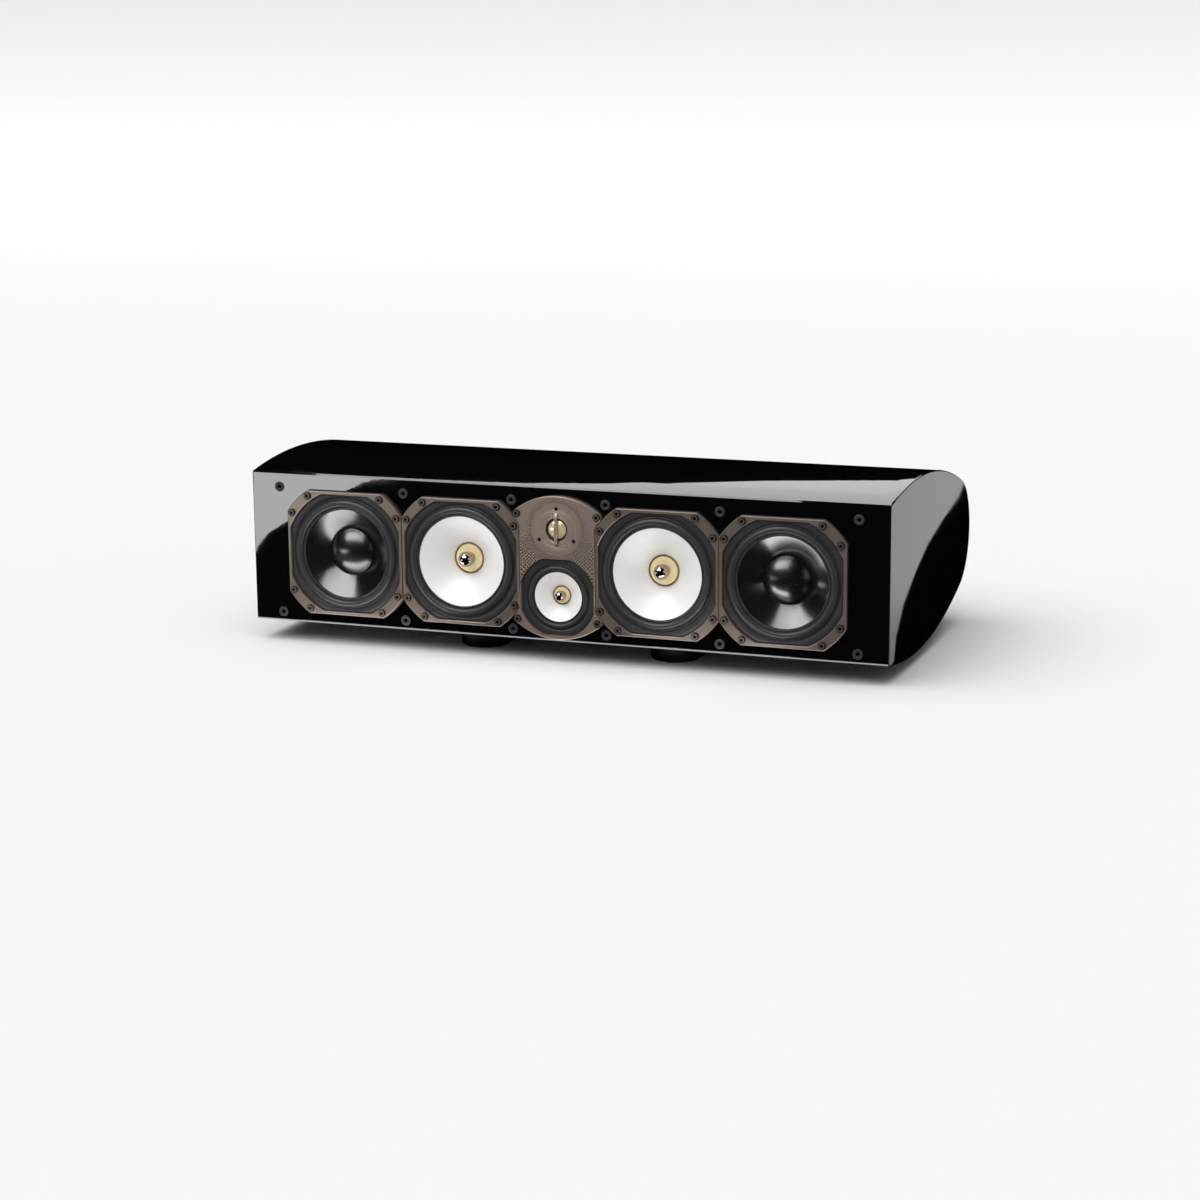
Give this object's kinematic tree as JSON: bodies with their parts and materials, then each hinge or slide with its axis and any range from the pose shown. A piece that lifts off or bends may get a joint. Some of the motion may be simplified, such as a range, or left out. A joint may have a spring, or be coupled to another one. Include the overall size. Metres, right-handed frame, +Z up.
{
  "type": "center channel speaker",
  "caption": "Long, low loudspeaker with a curved gloss black cabinet, cone drivers in bronze frames on the front, a dome tweeter over a small midrange, and rear terminals in a cup.",
  "frame": {"origin": "on the plane of the soles, under the middle of the whole part", "axes": "+Z up, -Y towards the listener (the front with the drivers), +X to the right seen from the front"},
  "size_m": [0.948, 0.4794, 0.2633],
  "materials": {
    "black_lacquer": "gloss lacquer on board",
    "raw_board": "bare board",
    "bronze_casting": "satin bronze anodised casting",
    "black_rubber": "moulded",
    "black_cone": "gloss moulded polypropylene",
    "silver_cone": "fine satin",
    "gold_metal": "satin gold anodised",
    "polished_bronze": "polished",
    "screw_steel": "dark bronze plated",
    "former": "wound with copper wire",
    "spider_cloth": "resin-stiffened weave",
    "magnet_steel": "plated steel and ferrite",
    "chamber_shell": "moulded",
    "foot_rubber": "moulded",
    "cup_plastic": "moulded",
    "post_metal": "gold plated",
    "red_plastic": "moulded",
    "black_plastic": "moulded",
    "board_laminate": "printed circuit laminate",
    "copper_wire": "enamelled copper",
    "film_capacitor": "wrapped film"
  },
  "bodies": {
    "cabinet": {"cabinet_shell": "black_lacquer", "front_baffle": "black_lacquer", "left_end_panel": "black_lacquer", "right_end_panel": "black_lacquer", "left_brace": "raw_board", "right_brace": "raw_board", "midrange_chamber": "chamber_shell", "left_foot": "foot_rubber", "right_foot": "foot_rubber", "grille_sockets": "black_rubber", "driver_screws": "screw_steel", "centre_plate": "bronze_casting", "tweeter_motor": "magnet_steel", "tweeter_screws": "screw_steel", "terminal_cup": "cup_plastic", "terminal_screws": "screw_steel", "binding_posts": "post_metal", "crossover_board": "board_laminate", "crossover_coils": "copper_wire", "crossover_capacitors": "film_capacitor", "left_woofer_surround": "black_rubber", "left_woofer_spider": "spider_cloth", "left_woofer_motor": "magnet_steel", "left_woofer_basket": "bronze_casting", "right_woofer_surround": "black_rubber", "right_woofer_spider": "spider_cloth", "right_woofer_motor": "magnet_steel", "right_woofer_basket": "bronze_casting", "left_mid_surround": "black_rubber", "left_mid_spider": "spider_cloth", "left_mid_motor": "magnet_steel", "left_mid_basket": "bronze_casting", "left_mid_phase_plug": "gold_metal", "left_mid_plug_tip": "polished_bronze", "right_mid_surround": "black_rubber", "right_mid_spider": "spider_cloth", "right_mid_motor": "magnet_steel", "right_mid_basket": "bronze_casting", "right_mid_phase_plug": "gold_metal", "right_mid_plug_tip": "polished_bronze", "midrange_surround": "black_rubber", "midrange_spider": "spider_cloth", "midrange_motor": "magnet_steel", "midrange_phase_plug": "gold_metal", "midrange_plug_tip": "polished_bronze"},
    "left_woofer_diaphragm": {"left_woofer_cone": "black_cone", "left_woofer_dust_cap": "black_cone", "left_woofer_voice_coil": "former"},
    "right_woofer_diaphragm": {"right_woofer_cone": "black_cone", "right_woofer_dust_cap": "black_cone", "right_woofer_voice_coil": "former"},
    "left_mid_diaphragm": {"left_mid_cone": "silver_cone", "left_mid_voice_coil": "former"},
    "right_mid_diaphragm": {"right_mid_cone": "silver_cone", "right_mid_voice_coil": "former"},
    "midrange_diaphragm": {"midrange_cone": "silver_cone", "midrange_voice_coil": "former"},
    "tweeter_diaphragm": {"tweeter_dome": "gold_metal"},
    "red_nut": {"red_post_nut": "red_plastic"},
    "black_nut": {"black_post_nut": "black_plastic"}
  },
  "joints": [
    {"name": "left_woofer_travel", "type": "slide", "parent": "cabinet", "child": "left_woofer_diaphragm", "axis": [0, -1, 0], "range_m": [-0.005, 0.005], "stiffness_N_per_m": 1000, "deforming": ["left_woofer_surround", "left_woofer_spider"]},
    {"name": "right_woofer_travel", "type": "slide", "parent": "cabinet", "child": "right_woofer_diaphragm", "axis": [0, -1, 0], "range_m": [-0.005, 0.005], "stiffness_N_per_m": 1000, "deforming": ["right_woofer_surround", "right_woofer_spider"]},
    {"name": "left_mid_travel", "type": "slide", "parent": "cabinet", "child": "left_mid_diaphragm", "axis": [0, -1, 0], "range_m": [-0.004, 0.004], "stiffness_N_per_m": 1100, "deforming": ["left_mid_surround", "left_mid_spider"]},
    {"name": "right_mid_travel", "type": "slide", "parent": "cabinet", "child": "right_mid_diaphragm", "axis": [0, -1, 0], "range_m": [-0.004, 0.004], "stiffness_N_per_m": 1100, "deforming": ["right_mid_surround", "right_mid_spider"]},
    {"name": "midrange_travel", "type": "slide", "parent": "cabinet", "child": "midrange_diaphragm", "axis": [0, -1, 0], "range_m": [-0.0015, 0.0015], "stiffness_N_per_m": 1500, "deforming": ["midrange_surround", "midrange_spider"]},
    {"name": "tweeter_travel", "type": "slide", "parent": "cabinet", "child": "tweeter_diaphragm", "axis": [0, -1, 0], "range_m": [-0.0004, 0.0004], "stiffness_N_per_m": 2000},
    {"name": "red_nut_turn", "type": "hinge", "parent": "cabinet", "child": "red_nut", "pos_m": [-0.019, 0.21875, 0.13933], "axis": [0, 1, 0], "range_deg": [0, 720]},
    {"name": "black_nut_turn", "type": "hinge", "parent": "cabinet", "child": "black_nut", "pos_m": [0.019, 0.21875, 0.13933], "axis": [0, 1, 0], "range_deg": [0, 720]}
  ]
}
